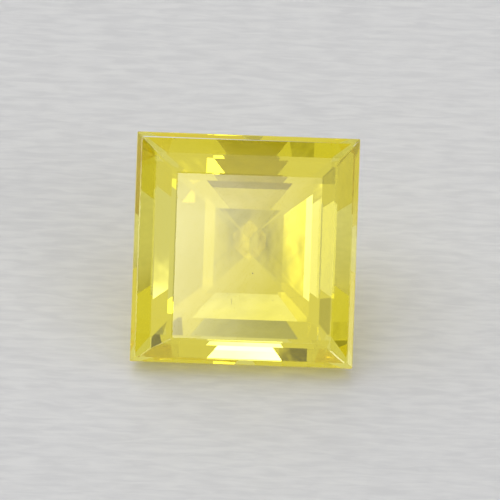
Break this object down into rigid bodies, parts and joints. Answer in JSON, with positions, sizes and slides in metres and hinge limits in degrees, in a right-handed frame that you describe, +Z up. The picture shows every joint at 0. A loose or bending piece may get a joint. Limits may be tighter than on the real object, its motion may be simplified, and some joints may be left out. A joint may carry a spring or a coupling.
{
  "type": "square cut sapphire",
  "caption": "Loose square step-cut gemstone with a flat table, a thin girdle and a pointed pavilion, lying on one pavilion facet.",
  "frame": {"origin": "centre of the bounding box's base, on the surface that the stone lies on", "axes": "+Z up from the surface; +X along the girdle's front side; -Y is the side that the table leans towards"},
  "size_m": [0.005, 0.0042, 0.0042],
  "materials": {
    "sapphire": "polished, clear lemon yellow"
  },
  "bodies": {
    "root": {"sapphire": "sapphire"}
  },
  "joints": []
}
